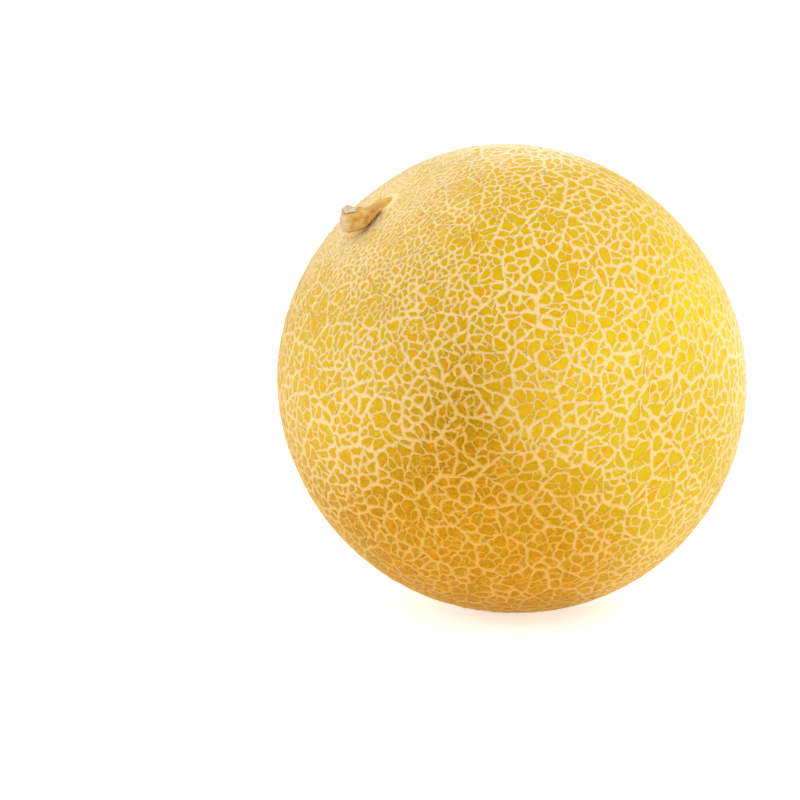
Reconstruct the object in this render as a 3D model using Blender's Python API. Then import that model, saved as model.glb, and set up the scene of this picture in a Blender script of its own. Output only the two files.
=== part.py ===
"""Kolkhoznitsa melon: a whole round netted fruit with the stub of its stem.

The fruit is one closed solid. Its rind is a sphere drawn a little long on the stem axis, with a few
broad flats, and its corky net is raised from that surface: cells packed on the sphere are split
again and again, as growth cracks do, and each cell is inset and sunk so that a ridge is left
between neighbours. The net is drawn larger than life. The stem stub is a ribbed loft, bent over
the shoulder. Units are metres, +Z is up, and the origin is in the middle of the resting spot.
"""
import math
import random

import bmesh
import bpy
from mathutils import Matrix, Vector

# Size of the rind, measured in the hollows of the net
EQUATOR_RADIUS = 0.0742
POLE_RADIUS = 0.0750
AXIS_TILT = math.radians(37.75)
REST_CUT = 0.0004

# The net
NET_SEED = 21
NET_POINTS = 235
NET_JITTER = 0.40
CELL_AREA = 95e-6
CREST_HEIGHT = 0.0009
FLOOR_DEPTH = 0.0003
RIDGE_HALF_WIDTHS = (0.0013, 0.0010, 0.0008, 0.0007)
SHORTEST_EDGE = 0.0028

# The two ends of the axis
SEAT_RADIUS = 0.0062
SCAR_RADIUS = 0.0040

# The stem stub
STEM_SIDES = 15
STEM_RIBS = 5
STEM_GAP = 0.0003
STEM_HEADING = Vector((-0.76, -0.02, -0.65))
STEM_END_DISH = 0.0009

STEM_POLE = Vector((-math.sin(AXIS_TILT), 0.0, math.cos(AXIS_TILT)))
DOWN = Vector((0.0, 0.0, -1.0))

# Broad flats and swellings of the outline: direction, height over the radius, spread in degrees
LOBES = (
    (Vector((0.71, -0.26, 0.66)), -0.022, 20.0),
    (Vector((-0.10, 0.25, 0.96)), 0.009, 14.0),
    (Vector((-0.88, 0.48, -0.05)), 0.008, 16.0),
    (STEM_POLE.copy(), -0.014, 12.0),
    (DOWN.copy(), -0.009, 18.0),
)


def clear_scene():
    for item in list(bpy.data.objects):
        bpy.data.objects.remove(item, do_unlink=True)


def smooth_step(low, high, value):
    t = min(max((value - low) / (high - low), 0.0), 1.0)
    return t * t * (3.0 - 2.0 * t)


def rind_point(direction, height=0.0):
    """The point of the rind under a direction, raised by height."""
    d = direction.normalized()
    along = d.dot(STEM_POLE)
    point = d * EQUATOR_RADIUS + STEM_POLE * along * (POLE_RADIUS - EQUATOR_RADIUS)
    swell = 1.0
    for centre, amount, spread in LOBES:
        angle = math.degrees(d.angle(centre.normalized()))
        swell += amount * math.exp(-0.5 * (angle / spread) ** 2)
    return point * swell + d * height


def relief_share(direction):
    """How much of the net's height is left: less on the resting spot and round the stem."""
    worn = smooth_step(6.0, 12.0, math.degrees(direction.angle(DOWN)))
    young = smooth_step(9.0, 17.0, math.degrees(direction.angle(STEM_POLE)))
    return 0.25 + 0.75 * worn - 0.4 * (1.0 - young)


def ring_round(pole, radius, count, turn):
    """Directions spaced round a pole, at a radius measured on the fruit."""
    side = pole.orthogonal().normalized()
    lean = radius / EQUATOR_RADIUS
    ring = []
    for i in range(count):
        spin = Matrix.Rotation(turn + 2.0 * math.pi * i / count, 3, pole)
        ring.append((pole * math.cos(lean) + (spin @ side) * math.sin(lean)).normalized())
    return ring


def net_directions(rng):
    """Scattered directions for the first cells, with a round cell kept free at each pole."""
    spacing = math.sqrt(4.0 * math.pi / NET_POINTS)
    golden = math.pi * (3.0 - math.sqrt(5.0))
    poles = ((STEM_POLE, 2.0 * SEAT_RADIUS, 7), (-STEM_POLE, 2.0 * SCAR_RADIUS, 6))
    directions = []
    for pole, radius, count in poles:
        directions.append(pole.copy())
        directions.extend(ring_round(pole, radius, count, rng.random()))
    for i in range(NET_POINTS):
        z = 1.0 - (2.0 * i + 1.0) / NET_POINTS
        r = math.sqrt(1.0 - z * z)
        d = Vector((r * math.cos(golden * i), r * math.sin(golden * i), z))
        nudge = Vector((rng.gauss(0, 1), rng.gauss(0, 1), rng.gauss(0, 1)))
        d = (d + nudge * spacing * NET_JITTER * 0.58).normalized()
        clear = all(d.angle(pole) * EQUATOR_RADIUS > radius + 0.45 * spacing * EQUATOR_RADIUS
                    for pole, radius, count in poles)
        if clear:
            directions.append(d)
    return directions


def packed_cells(directions):
    """One polygon round each direction: the dual of the points' convex hull."""
    hull = bmesh.new()
    for d in directions:
        hull.verts.new(d)
    bmesh.ops.convex_hull(hull, input=hull.verts[:])
    hull.faces.index_update()
    net = bmesh.new()
    corners = [net.verts.new(face.calc_center_median().normalized()) for face in hull.faces]
    for vert in hull.verts:
        axis = vert.co.normalized()
        side = axis.orthogonal().normalized()
        across = axis.cross(side)
        around = sorted(vert.link_faces, key=lambda f: math.atan2(
            (f.calc_center_median() - vert.co).dot(across),
            (f.calc_center_median() - vert.co).dot(side)))
        net.faces.new([corners[f.index] for f in around])
    hull.free()
    bmesh.ops.remove_doubles(net, verts=net.verts[:], dist=SHORTEST_EDGE / EQUATOR_RADIUS)
    return net


def long_axis(face):
    """The longest diagonal of a cell."""
    best = Vector((1.0, 0.0, 0.0))
    reach = 0.0
    points = [v.co for v in face.verts]
    for i, a in enumerate(points):
        for b in points[i + 1:]:
            if (a - b).length > reach:
                reach = (a - b).length
                best = (a - b).normalized()
    return best


def crossings(face, centre, across):
    """Where a cut through the centre meets the cell's border: edge, start vertex and share."""
    found = []
    for loop in face.loops:
        a = loop.vert
        b = loop.link_loop_next.vert
        da = (a.co - centre).dot(across)
        db = (b.co - centre).dot(across)
        if (da < 0.0) != (db < 0.0):
            share = min(max(da / (da - db), 0.25), 0.75)
            found.append((loop.edge, a, share))
    return found


def crack(net, face, generation, rng):
    """Split one cell across its long axis, and return both halves."""
    centre = face.calc_center_median()
    turn = Matrix.Rotation(rng.uniform(-0.35, 0.35), 3, centre.normalized())
    across = turn @ long_axis(face)
    found = crossings(face, centre, across)
    if len(found) != 2:
        return []
    age = 1 + max(edge[generation] for edge, start, share in found)
    ends = []
    for edge, start, share in found:
        new_edge, vert = bmesh.utils.edge_split(edge, start, share)
        vert.co.normalize()
        ends.append(vert)
    half, loop = bmesh.utils.face_split(face, ends[0], ends[1])
    shared = [e for e in half.edges if ends[0] in e.verts and ends[1] in e.verts]
    shared[0][generation] = age
    return [face, half]


def crack_all(net, rng):
    """Split cells until each is smaller than its limit. The pole cells stay whole."""
    generation = net.edges.layers.int.new("generation")
    scale = EQUATOR_RADIUS ** 2
    queue = [f for f in net.faces if not is_pole_cell(f)]
    while queue:
        face = queue.pop()
        limit = CELL_AREA * rng.uniform(1.15, 1.75) * cell_scale(face.calc_center_median())
        if face.calc_area() * scale > limit:
            queue.extend(crack(net, face, generation, rng))
    return generation


def is_pole_cell(face):
    centre = face.calc_center_median()
    return any(centre.angle(pole) < 0.03 for pole in (STEM_POLE, -STEM_POLE))


def cell_scale(direction):
    """Cells are smaller round the stem and larger towards the far shoulder."""
    near_stem = smooth_step(30.0, 12.0, math.degrees(direction.angle(STEM_POLE)))
    far_side = smooth_step(0.2, 0.9, direction.normalized().dot(Vector((0.62, -0.55, 0.56))))
    return 1.0 - 0.35 * near_stem + 0.25 * far_side


def relax(net, rounds, share):
    """Let the net pull its junctions a little, as a stretched net does."""
    for i in range(rounds):
        moved = {}
        for v in net.verts:
            mean = Vector((0.0, 0.0, 0.0))
            for e in v.link_edges:
                mean += e.other_vert(v).co
            moved[v] = v.co.lerp(mean / len(v.link_edges), share).normalized()
        for v, co in moved.items():
            v.co = co


def corner_offset(vert, back, ahead, width_back, width_ahead, centre):
    """The step from a corner of a cell to the foot of the ridges that meet there."""
    up = vert.co.normalized()
    to_back = (vert.co - back.co).normalized()
    to_ahead = (ahead.co - vert.co).normalized()
    normal_back = up.cross(to_back).normalized()
    normal_ahead = up.cross(to_ahead).normalized()
    c = normal_back.dot(normal_ahead)
    if c > 0.85:
        step = (normal_back + normal_ahead) * 0.5 * (width_back + width_ahead) / (1.0 + c)
    else:
        a = (width_back - c * width_ahead) / (1.0 - c * c)
        b = (width_ahead - c * width_back) / (1.0 - c * c)
        step = normal_back * a + normal_ahead * b
    reach = (centre - vert.co).length
    return step * min(1.0, 0.62 * reach / max(step.length, 1e-9))


def inner_radius(face, centre):
    """How far the middle of a cell is from the nearest border line."""
    nearest = 1.0
    for edge in face.edges:
        a = edge.verts[0].co
        along = (edge.verts[1].co - a).normalized()
        nearest = min(nearest, ((centre - a) - along * (centre - a).dot(along)).length)
    return nearest


def floor_points(face, generation):
    """The corners of a cell's sunk floor, one for each corner of the cell."""
    centre = face.calc_center_median()
    widest = 0.58 * inner_radius(face, centre)
    points = []
    for loop in face.loops:
        back_loop = loop.link_loop_prev
        ahead = loop.link_loop_next.vert
        widths = []
        for edge in (back_loop.edge, loop.edge):
            rank = min(edge[generation], len(RIDGE_HALF_WIDTHS) - 1)
            widths.append(min(RIDGE_HALF_WIDTHS[rank] / EQUATOR_RADIUS, widest))
        step = corner_offset(loop.vert, back_loop.vert, ahead, widths[0], widths[1], centre)
        points.append(loop.vert.co + step)
    return points


def sink_floors(net, generation):
    """Inset every cell and move the new corners to the foot of the ridges."""
    floors = {}
    cells = net.faces[:]
    plans = [floor_points(face, generation) for face in cells]
    for face, plan in zip(cells, plans):
        crests = [loop.vert for loop in face.loops]
        bmesh.ops.inset_individual(net, faces=[face], thickness=0.0005, depth=0.0)
        for crest, point in zip(crests, plan):
            inner = [v for v in face.verts if any(crest in e.verts for e in v.link_edges)]
            inner[0].co = point
            floors[inner[0]] = True
    return floors


def lay_on_rind(net, floors, rng):
    """Move every vertex from the unit sphere to the fruit, crests up and floors down."""
    for v in net.verts:
        d = v.co.normalized()
        share = relief_share(d)
        height = CREST_HEIGHT * rng.uniform(0.85, 1.1)
        if v in floors:
            height = -FLOOR_DEPTH
        v.co = rind_point(d, height * share)


def seat_level(floors):
    """Height of the bare seat of the stem along the axis, over the middle of the fruit."""
    reach = 1.15 * SEAT_RADIUS
    near = [v for v in floors if v.co.angle(STEM_POLE) * EQUATOR_RADIUS < reach]
    return max(v.co.dot(STEM_POLE) for v in near)


def set_down(net):
    """Stand the fruit on the floor over the origin and flatten the resting spot."""
    east = [v.co.x for v in net.verts]
    north = [v.co.y for v in net.verts]
    lift = -rind_point(DOWN).z - REST_CUT
    middle = Vector((-0.5 * (min(east) + max(east)), -0.5 * (min(north) + max(north)), lift))
    for v in net.verts:
        v.co += middle
        v.co.z = max(v.co.z, 0.0)
    return middle


def make_fruit(collection, material):
    rng = random.Random(NET_SEED)
    net = packed_cells(net_directions(rng))
    generation = crack_all(net, rng)
    relax(net, 2, 0.25)
    floors = sink_floors(net, generation)
    lay_on_rind(net, floors, rng)
    seat = seat_level(floors)
    middle = set_down(net)
    bmesh.ops.triangulate(net, faces=net.faces[:])
    bmesh.ops.recalc_face_normals(net, faces=net.faces[:])
    fruit = new_object("fruit", net, collection, material, 25.0)
    return fruit, middle, seat


def stem_path():
    """Stations of the stub: run down the slope, run to the side, height over the seat, radius."""
    return (
        (0.0000, 0.0000, 0.0000, 0.0029),
        (0.0003, 0.0003, 0.0009, 0.0024),
        (0.0014, 0.0012, 0.0018, 0.0019),
        (0.0034, 0.0025, 0.0024, 0.0016),
        (0.0056, 0.0034, 0.0028, 0.0017),
        (0.0077, 0.0038, 0.0032, 0.0022),
        (0.0096, 0.0036, 0.0037, 0.0030),
        (0.0112, 0.0031, 0.0042, 0.0037),
        (0.0125, 0.0026, 0.0045, 0.0040),
        (0.0134, 0.0022, 0.0046, 0.0037),
    )


def stem_frames(origin, heading, aside):
    """Centre and forward direction of every section; the foot stays square to the seat."""
    centres = [origin + heading * run + aside * off + STEM_POLE * rise
               for run, off, rise, radius in stem_path()]
    frames = [(centres[0], STEM_POLE.copy())]
    for i in range(1, len(centres)):
        ahead = centres[min(i + 1, len(centres) - 1)]
        run = (ahead - centres[i - 1]).normalized()
        frames.append((centres[i], STEM_POLE.lerp(run, min(1.0, i / 3.0)).normalized()))
    return frames


def stem_ring(stem, centre, forward, aside, radius, depth):
    """One ribbed section of the stub, square to its run."""
    third = forward.cross(aside).normalized()
    side = third.cross(forward).normalized()
    ring = []
    for i in range(STEM_SIDES):
        angle = 2.0 * math.pi * i / STEM_SIDES
        rib = 1.0 + depth * math.cos(STEM_RIBS * angle)
        place = side * math.cos(angle) + third * math.sin(angle)
        ring.append(stem.verts.new(centre + place * radius * rib))
    return ring


def join_rings(stem, first, second):
    count = len(first)
    for i in range(count):
        j = (i + 1) % count
        stem.faces.new((first[i], first[j], second[j], second[i]))


def make_stem(collection, material, middle, seat):
    """Loft the stub from its foot on the seat to its flared end, and dish the end face."""
    heading = (STEM_HEADING - STEM_POLE * STEM_HEADING.dot(STEM_POLE)).normalized()
    aside = STEM_POLE.cross(heading).normalized()
    origin = middle + STEM_POLE * (seat + STEM_GAP)
    stem = bmesh.new()
    rings = []
    for frame, station in zip(stem_frames(origin, heading, aside), stem_path()):
        centre, forward = frame
        depth = 0.10 * smooth_step(0.0, 0.006, station[0])
        rings.append(stem_ring(stem, centre, forward, aside, station[3], depth))
    for first, second in zip(rings, rings[1:]):
        join_rings(stem, first, second)
    stem.faces.new(list(reversed(rings[0])))
    end = stem.faces.new(rings[-1])
    bmesh.ops.recalc_face_normals(stem, faces=stem.faces[:])
    bmesh.ops.inset_individual(stem, faces=[end], thickness=0.0011, depth=-STEM_END_DISH)
    bmesh.ops.triangulate(stem, faces=stem.faces[:])
    return new_object("stem", stem, collection, material, 40.0)


def new_object(name, shape, collection, material, sharp):
    mesh = bpy.data.meshes.new(name)
    shape.to_mesh(mesh)
    shape.free()
    mesh.shade_smooth()
    mesh.set_sharp_from_angle(angle=math.radians(sharp))
    mesh.materials.append(material)
    item = bpy.data.objects.new(name, mesh)
    collection.objects.link(item)
    return item


def new_material(name, colour, roughness):
    material = bpy.data.materials.new(name)
    material.use_nodes = True
    shader = material.node_tree.nodes["Principled BSDF"]
    shader.inputs["Base Color"].default_value = (*colour, 1.0)
    shader.inputs["Roughness"].default_value = roughness
    shader.inputs["Metallic"].default_value = 0.0
    return material


def main():
    clear_scene()
    collection = bpy.data.collections.new("kolkhoznitsa_melon")
    bpy.context.scene.collection.children.link(collection)
    rind = new_material("netted_golden_rind", (0.84, 0.56, 0.10), 0.5)
    dry = new_material("dry_stem", (0.62, 0.40, 0.13), 0.75)
    fruit, middle, seat = make_fruit(collection, rind)
    stem = make_stem(collection, dry, middle, seat)
    print("fruit triangles:", len(fruit.data.polygons))
    print("stem triangles:", len(stem.data.polygons))
    print("middle of the fruit:", [round(c * 1000, 2) for c in middle], "mm")
    print("stem seat over the middle:", round(seat * 1000, 2), "mm")


main()
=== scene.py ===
# %% [markdown]
# # A kolkhoznitsa melon
# The real thing is a round, ripe melon about 15 cm across. Its golden skin stopped growing before
# the flesh did, so it tore into thousands of small cracks, and each crack healed over with pale
# cork that stands up as a net. A dry stub of the stem lies over one shoulder.
# This lesson makes the smooth skin, the cork net that sits in it, and the stub. Skin and net could
# be one mesh, but two pieces keep the edge between gold and cork sharp, and each finish gets a
# material of its own.

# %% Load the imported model
import math
import random

import bmesh
import bpy
import numpy as np
from mathutils import Matrix, Vector, noise


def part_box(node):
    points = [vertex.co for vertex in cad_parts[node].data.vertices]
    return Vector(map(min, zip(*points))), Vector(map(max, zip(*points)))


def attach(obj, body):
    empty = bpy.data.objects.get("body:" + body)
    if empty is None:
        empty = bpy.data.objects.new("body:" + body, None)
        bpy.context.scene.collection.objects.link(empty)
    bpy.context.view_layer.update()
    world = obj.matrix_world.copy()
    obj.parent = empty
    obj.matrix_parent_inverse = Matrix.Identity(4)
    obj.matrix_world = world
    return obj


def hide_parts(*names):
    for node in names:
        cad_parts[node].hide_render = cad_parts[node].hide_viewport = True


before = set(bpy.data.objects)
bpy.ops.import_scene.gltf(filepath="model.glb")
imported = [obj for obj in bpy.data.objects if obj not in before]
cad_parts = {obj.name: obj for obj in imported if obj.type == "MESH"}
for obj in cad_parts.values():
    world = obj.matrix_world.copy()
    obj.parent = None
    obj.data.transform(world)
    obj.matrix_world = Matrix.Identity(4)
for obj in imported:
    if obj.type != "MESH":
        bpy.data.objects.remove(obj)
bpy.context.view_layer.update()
fruit_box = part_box("fruit")
MM = 0.001
print("fruit box in mm:", [[round(c / MM, 1) for c in corner] for corner in fruit_box])

# %% [markdown]
# ## The form of the fruit
# A melon is nearly a sphere. This one is a little long on the axis from stem to blossom scar, and
# it has a few broad flats where it lay or grew against something. The same rule shapes the skin
# and carries the net, so it is written once: an ellipsoid, swollen or pressed in by soft lobes.
# A sculpted mesh would look as good, but no second piece could follow it exactly.

# %% Sizes of the fruit
EQUATOR_RADIUS = 74.2 * MM
POLE_RADIUS = 75.0 * MM
AXIS_TILT = math.radians(37.75)
REST_CUT = 0.4 * MM
STEM_POLE = Vector((-math.sin(AXIS_TILT), 0.0, math.cos(AXIS_TILT)))
DOWN = Vector((0.0, 0.0, -1.0))
# Each lobe: its direction, its height over the radius, and its spread in degrees.
LOBES = (
    (Vector((0.71, -0.26, 0.66)), -0.022, 20.0),
    (Vector((-0.10, 0.25, 0.96)), 0.009, 14.0),
    (Vector((-0.88, 0.48, -0.05)), 0.008, 16.0),
    (STEM_POLE.copy(), -0.014, 12.0),
    (DOWN.copy(), -0.009, 18.0),
)


def rind_radius_point(direction):
    """The bare skin under a direction, measured from the middle of the fruit."""
    d = direction.normalized()
    point = d * EQUATOR_RADIUS + STEM_POLE * d.dot(STEM_POLE) * (POLE_RADIUS - EQUATOR_RADIUS)
    swell = 1.0
    for centre, amount, spread in LOBES:
        angle = math.degrees(d.angle(centre))
        swell += amount * math.exp(-0.5 * (angle / spread) ** 2)
    return point * swell


MIDDLE = Vector((0.11 * MM, 0.04 * MM, -rind_radius_point(DOWN).z - REST_CUT))
print("middle of the fruit stands", round(MIDDLE.z / MM, 2), "mm over the floor")

# %% [markdown]
# ## Where the photograph was taken from
# The camera stands a little to the left of the front and ten degrees up. Its axes are kept here
# because the net and the colours also change with the side of the fruit. The colours are partly
# the fruit's own uneven ripening and partly painted light and shade: the lit right side is painted
# lemon yellow, the front that faces the camera a deeper gold as painted shade, the belly a darker
# orange as painted shade, and the crown and the stem end paler as a painted rim light.

# %% View axes
VIEW_TURN = math.radians(-25.6)
VIEW_RISE = math.radians(10.0)
VIEW_RIGHT = Vector((math.cos(VIEW_TURN), math.sin(VIEW_TURN), 0.0))
VIEW_BACK = Vector((math.sin(VIEW_TURN) * math.cos(VIEW_RISE),
                    -math.cos(VIEW_TURN) * math.cos(VIEW_RISE), math.sin(VIEW_RISE)))
VIEW_UP = VIEW_BACK.cross(VIEW_RIGHT)


def facing(across, up):
    """The direction on the fruit at a place in the view, in radii right and up of its middle."""
    back = math.sqrt(max(1.0 - across * across - up * up, 0.0))
    return (VIEW_RIGHT * across + VIEW_UP * up + VIEW_BACK * back).normalized()


CROWN = (VIEW_UP + VIEW_BACK * 0.2).normalized()


# %% [markdown]
# ## A helper for node trees
# Shader trees and geometry trees are built the same way: add a node, set its settings, and give
# each input a value or a link. One small function does all three, and shorter ones call it for
# sums, noise and ranges, so the trees below read as a list of what happens.


# %% One function that adds a node
def fill(tree, node, inputs):
    """Fill a node's inputs with values or with links."""
    for key, value in inputs.items():
        socket = node.inputs[key]
        if isinstance(value, bpy.types.NodeSocket):
            tree.links.new(value, socket)
        else:
            socket.default_value = value


def add(tree, kind, inputs=None, **settings):
    """Add a node with its settings and its inputs."""
    node = tree.nodes.new(kind)
    for name, value in settings.items():
        setattr(node, name, value)
    fill(tree, node, inputs or {})
    return node


def sum_of(tree, operation, *values):
    """A sum on numbers."""
    return add(tree, "ShaderNodeMath", dict(enumerate(values)), operation=operation).outputs[0]


def vector_sum(tree, operation, *values):
    """A sum on vectors. Only a dot product gives a number."""
    node = add(tree, "ShaderNodeVectorMath", dict(enumerate(values)), operation=operation)
    return node.outputs[1 if operation == "DOT_PRODUCT" else 0]


def scaled(tree, vector, factor):
    """A vector times a number."""
    return add(tree, "ShaderNodeVectorMath", {0: vector, 3: factor}, operation="SCALE").outputs[0]


def noise_at(tree, place, scale, detail=2.0, rough=0.5):
    """Noise at a place: its value, and its colour for a shift aside."""
    node = add(tree, "ShaderNodeTexNoise", {"Vector": place, "Scale": scale, "Detail": detail,
                                            "Roughness": rough})
    return node.outputs[0], node.outputs[1]


def ramped(tree, value, low, high, to_low=0.0, to_high=1.0, kind="LINEAR"):
    """A value brought from one range to another, held at both ends."""
    return add(tree, "ShaderNodeMapRange",
               {"Value": value, "From Min": low, "From Max": high, "To Min": to_low,
                "To Max": to_high}, interpolation_type=kind).outputs[0]


# %% A tree with named inputs
def new_tree(name, inputs, output, output_kind):
    """A geometry node group with its named inputs and one output."""
    tree = bpy.data.node_groups.new(name, "GeometryNodeTree")
    for label, kind in inputs.items():
        tree.interface.new_socket(label, in_out="INPUT", socket_type="NodeSocket" + kind)
    tree.interface.new_socket(output, in_out="OUTPUT", socket_type="NodeSocket" + output_kind)
    return tree, tree.nodes.new("NodeGroupInput"), tree.nodes.new("NodeGroupOutput")


def finish_tree(tree, given, out, mesh):
    """Shade a mesh smooth, make it real, give it its material and send it out."""
    smooth = add(tree, "GeometryNodeSetShadeSmooth", {"Geometry": mesh})
    real = add(tree, "GeometryNodeRealizeInstances", {"Geometry": smooth.outputs[0]})
    painted = add(tree, "GeometryNodeSetMaterial",
                  {"Geometry": real.outputs[0], "Material": given.outputs["Material"]})
    tree.links.new(painted.outputs[0], out.inputs[0])


# %% The form of the fruit as a node group
def fruit_form_group():
    """Direction and height in, place on the fruit out. Skin and net both use it."""
    inputs = {"Direction": "Vector", "Height": "Float", "Lowest": "Float"}
    tree, given, out = new_tree("fruit_form", inputs, "Place", "Vector")
    d = vector_sum(tree, "NORMALIZE", given.outputs["Direction"])
    along = vector_sum(tree, "DOT_PRODUCT", d, STEM_POLE)
    longer = sum_of(tree, "MULTIPLY", along, POLE_RADIUS - EQUATOR_RADIUS)
    egg = vector_sum(tree, "ADD", scaled(tree, d, EQUATOR_RADIUS), scaled(tree, STEM_POLE, longer))
    swell = 1.0
    for centre, amount, spread in LOBES:
        near = vector_sum(tree, "DOT_PRODUCT", d, centre.normalized())
        angle = sum_of(tree, "ARCCOSINE", near)
        share = sum_of(tree, "DIVIDE", angle, math.radians(spread))
        square = sum_of(tree, "POWER", share, 2.0)
        bell = sum_of(tree, "EXPONENT", sum_of(tree, "MULTIPLY", square, -0.5))
        swell = sum_of(tree, "MULTIPLY_ADD", bell, amount, swell)
    up = scaled(tree, d, given.outputs["Height"])
    raised = vector_sum(tree, "ADD", scaled(tree, egg, swell), up)
    placed = vector_sum(tree, "ADD", raised, MIDDLE)
    x, y, z = add(tree, "ShaderNodeSeparateXYZ", {0: placed}).outputs
    flat = sum_of(tree, "MAXIMUM", z, given.outputs["Lowest"])
    place = add(tree, "ShaderNodeCombineXYZ", {0: x, 1: y, 2: flat})
    tree.links.new(place.outputs[0], out.inputs[0])
    return tree


fruit_form = fruit_form_group()
print("fruit form:", len(fruit_form.nodes), "nodes,", len(LOBES), "lobes")


def laid_on_fruit(tree, mesh, height, lowest=0.0):
    """A mesh moved from its directions to its places on the fruit."""
    at = add(tree, "GeometryNodeInputPosition").outputs[0]
    form = add(tree, "GeometryNodeGroup", {"Direction": at, "Height": height, "Lowest": lowest},
               node_tree=fruit_form)
    return add(tree, "GeometryNodeSetPosition",
               {"Geometry": mesh, "Position": form.outputs[0]}).outputs[0]


# %% [markdown]
# ## The crack network
# The net follows the cracks of the skin. Early cracks are long and grow wide. Later ones cross the
# plates that are left, from one old crack to another, and stay thin, so most junctions are a T.
# A plain pattern of cells has no such ages. So large plates come first, packed round scattered
# points on a ball, and each plate is split across its long axis again and again. Every edge keeps
# the number of its generation, which later sets the width of its cork.

# %% Scattered points on a ball
NET_SEED = 7
FIRST_PLATES = 300
PLATE_JITTER = 0.42
SEAT_RADIUS = 3.9 * MM
SCAR_RADIUS = 3.4 * MM


def ball_points(rng):
    """Evenly spread points on a unit ball, each pushed a little aside."""
    spacing = math.sqrt(4.0 * math.pi / FIRST_PLATES)
    golden = math.pi * (3.0 - math.sqrt(5.0))
    points = []
    for i in range(FIRST_PLATES):
        z = 1.0 - (2.0 * i + 1.0) / FIRST_PLATES
        r = math.sqrt(1.0 - z * z)
        d = Vector((r * math.cos(golden * i), r * math.sin(golden * i), z))
        push = Vector((rng.gauss(0, 1), rng.gauss(0, 1), rng.gauss(0, 1)))
        points.append((d + push * spacing * PLATE_JITTER * 0.58).normalized())
    return points


def ring_round(pole, radius, count, turn):
    """Points spaced round a pole, so that the cell in the middle comes out round."""
    side = pole.orthogonal().normalized()
    lean = radius / EQUATOR_RADIUS
    ring = []
    for i in range(count):
        spin = Matrix.Rotation(turn + 2.0 * math.pi * i / count, 3, pole)
        ring.append((pole * math.cos(lean) + (spin @ side) * math.sin(lean)).normalized())
    return ring


def plate_centres(rng):
    """The points, with room kept for the round seat of the stem and the blossom scar."""
    centres = []
    ends = ((STEM_POLE, SEAT_RADIUS, 9), (-STEM_POLE, SCAR_RADIUS, 8))
    spacing = EQUATOR_RADIUS * math.sqrt(4.0 * math.pi / FIRST_PLATES)
    for pole, radius, count in ends:
        centres.append(pole.copy())
        centres.extend(ring_round(pole, 2.0 * radius, count * 2, rng.random()))
    for d in ball_points(rng):
        if all(d.angle(pole) * EQUATOR_RADIUS > 2.0 * radius + 0.5 * spacing
               for pole, radius, count in ends):
            centres.append(d)
    return centres


# %% Packed plates
def packed_plates(centres):
    """One polygon round each point: the dual of the points' convex hull."""
    hull = bmesh.new()
    for d in centres:
        hull.verts.new(d)
    bmesh.ops.convex_hull(hull, input=hull.verts[:])
    hull.faces.index_update()
    net = bmesh.new()
    corners = [net.verts.new(face.calc_center_median().normalized()) for face in hull.faces]
    for vert in hull.verts:
        side = vert.co.orthogonal().normalized()
        across = vert.co.cross(side)
        around = sorted(vert.link_faces, key=lambda f: math.atan2(
            (f.calc_center_median() - vert.co).dot(across),
            (f.calc_center_median() - vert.co).dot(side)))
        net.faces.new([corners[f.index] for f in around])
    hull.free()
    bmesh.ops.remove_doubles(net, verts=net.verts[:], dist=0.9 * MM / EQUATOR_RADIUS)
    return net


# %% Later cracks
CELL_AREA = 8.6e-6
SMALLEST_SHARE = 0.26


def near_to(direction, centre, reach):
    """One at a centre, softly down to zero at a reach in degrees."""
    share = min(math.degrees(direction.angle(centre)) / reach, 1.0)
    return 0.5 + 0.5 * math.cos(math.pi * share)


def cell_scale(direction):
    """How large the cells are here: fine round the stem and on the front, coarser elsewhere."""
    front = near_to(direction, VIEW_BACK, 75.0)
    by_stem = near_to(direction, STEM_POLE, 66.0)
    shaded = near_to(direction, facing(-0.42, 0.25), 34.0)
    return (1.75 - 0.66 * front) * (1.0 - 0.85 * by_stem) * (1.0 - 0.25 * shaded)


def width_scale(direction):
    """How broad the cork is here: broadest on the left, where the cells nearly close."""
    shaded = near_to(direction, facing(-0.60, 0.18), 38.0)
    sunny = near_to(direction, facing(0.80, 0.15), 60.0)
    by_stem = near_to(direction, STEM_POLE, 45.0)
    crown = near_to(direction, CROWN, 34.0)
    patches = 1.0 + 0.55 * noise.noise(direction * 7.0)
    ripe = (1.0 + 0.12 * sunny) * (1.0 - 0.10 * by_stem)
    return patches * (1.14 + 0.30 * shaded + 0.35 * crown) * ripe


GRAIN = VIEW_RIGHT * 0.5 + VIEW_UP * 0.85


def along_skin(direction, place):
    """The part of a direction that runs along the skin at a place."""
    return (direction - place * direction.dot(place)).normalized()


def long_axis(points, place):
    """The longest diagonal of a plate. The skin was stretched as the fruit swelled, so plates
    are measured shorter along the stretch, and stay longer that way when they are split."""
    grain = along_skin(GRAIN, place)
    swell = along_skin(-VIEW_BACK, place)
    by_grain = 0.05 + 0.28 * near_to(place, facing(0.70, 0.05), 55.0)
    by_grain += 0.50 * near_to(place, STEM_POLE, 60.0)
    by_swell = 0.30 * (1.0 - near_to(place, VIEW_BACK, 80.0)) ** 2
    best = None
    for i, a in enumerate(points):
        for b in points[i + 1:]:
            step = a - b
            step = step - grain * step.dot(grain) * by_grain
            step = step - swell * step.dot(swell) * by_swell
            if best is None or step.length > best.length:
                best = step
    return best.normalized()


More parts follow.
